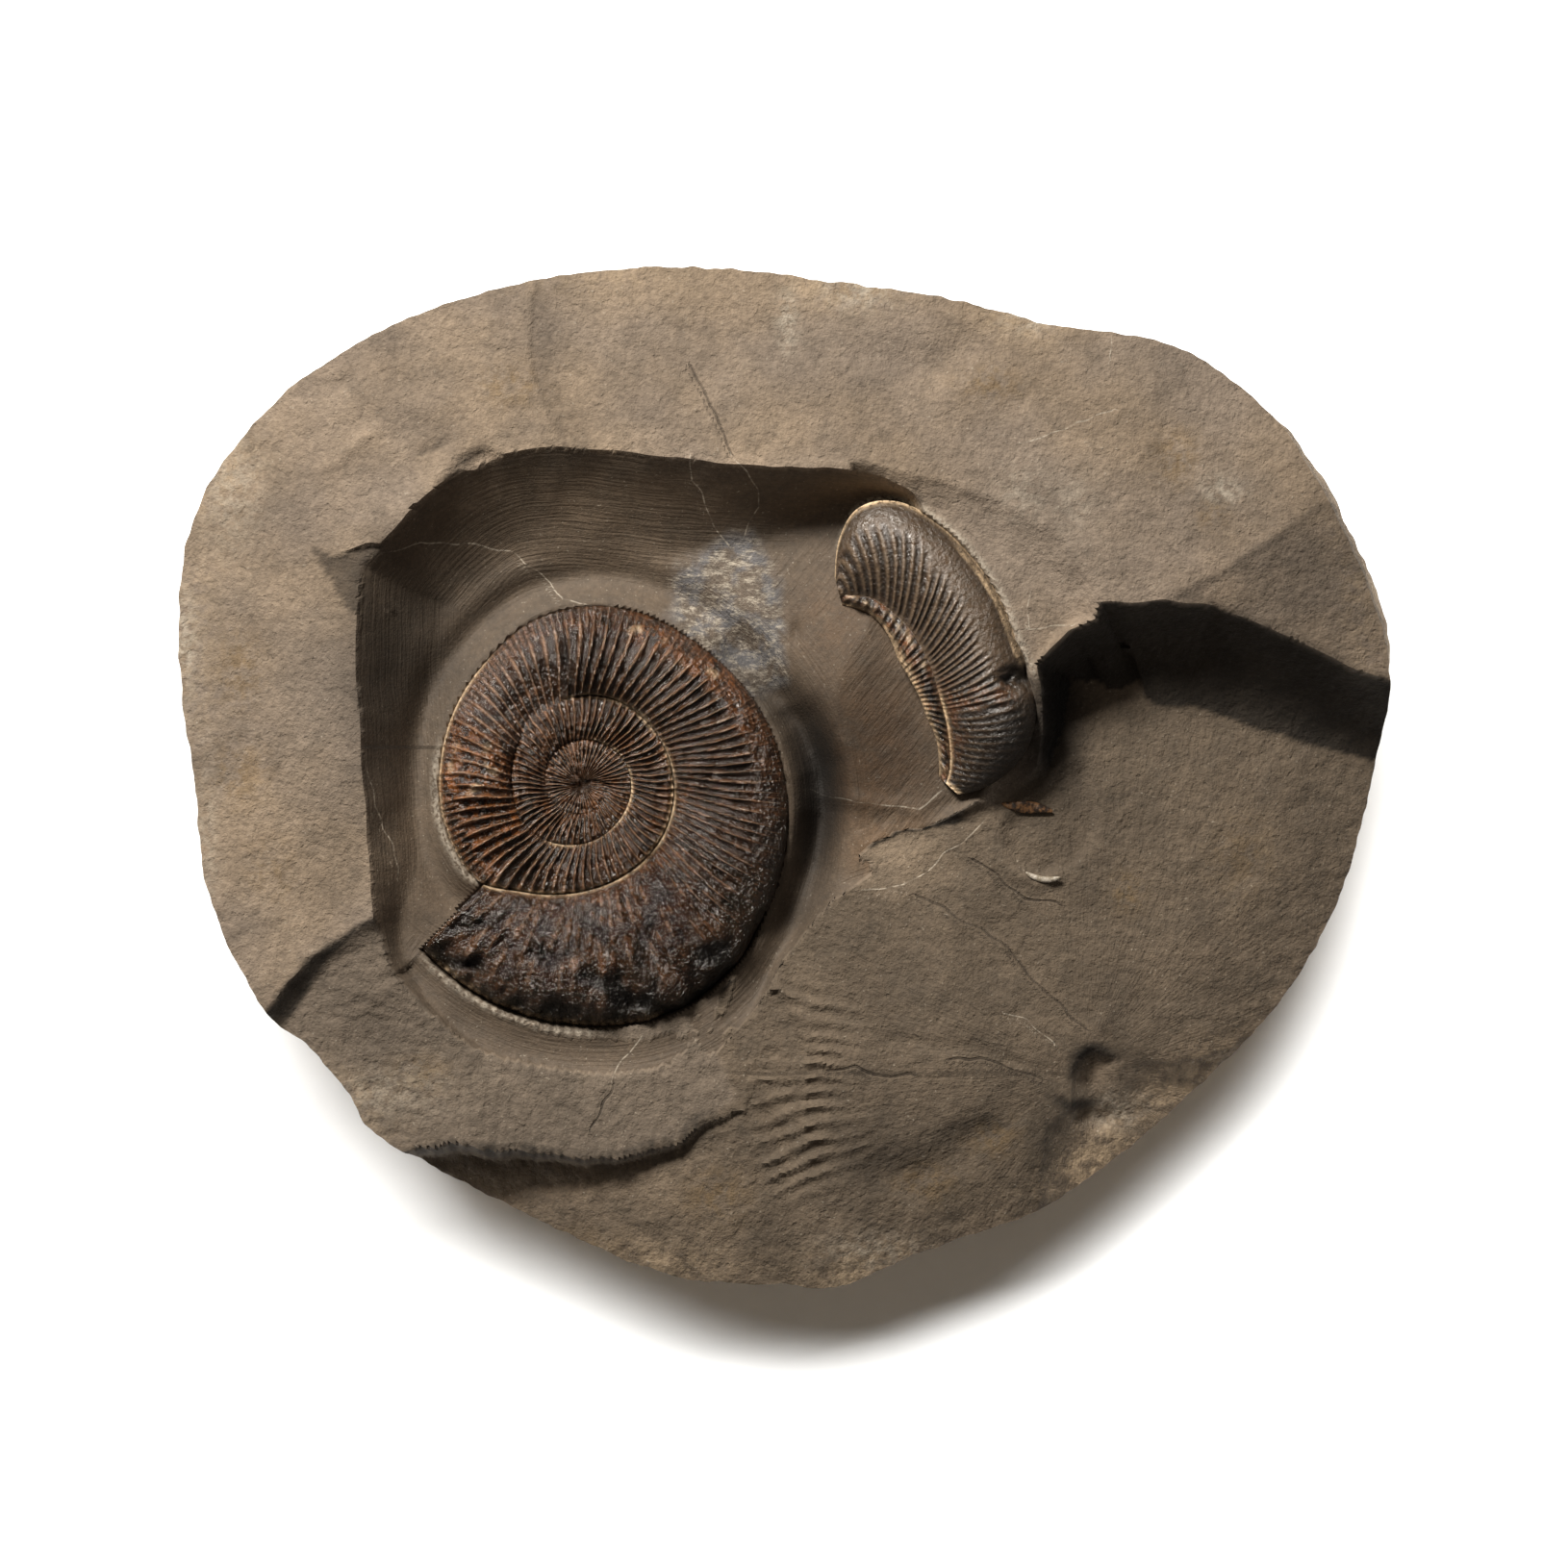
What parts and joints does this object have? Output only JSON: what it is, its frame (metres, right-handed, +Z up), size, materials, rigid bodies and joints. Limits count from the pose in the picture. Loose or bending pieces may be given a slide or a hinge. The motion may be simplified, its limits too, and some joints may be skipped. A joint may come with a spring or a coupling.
{
  "type": "pair of fossil ammonites in a stone nodule",
  "caption": "Coiled, closely ribbed fossil shells in a split grey-brown nodule: a large one flat in a worked basin, a smaller one tilted and half buried beside it",
  "frame": {"origin": "middle of the flattened base that the nodule rests on", "axes": "+X along the stone's length, +Y across it towards the thick rim, +Z up out of the split face"},
  "size_m": [0.1896, 0.1604, 0.0506],
  "materials": {
    "mudstone": "fine grey-brown mudstone, split and prepared, with a pale brown weathered crust",
    "fossil_shell": "dark brown mineral-filled shell, glossy on the ribs, rusty in places",
    "fossil_shell_smooth": "dark brown mineral-filled shell with a smooth glossy outer band",
    "shell_splinter": "thin sliver of orange-brown shell",
    "shell_crescent": "thin pale flake of shell"
  },
  "bodies": {
    "root": {"matrix_nodule": "mudstone", "large_ammonite": "fossil_shell", "small_ammonite": "fossil_shell_smooth", "shell_splinter": "shell_splinter", "shell_crescent": "shell_crescent"}
  },
  "joints": []
}
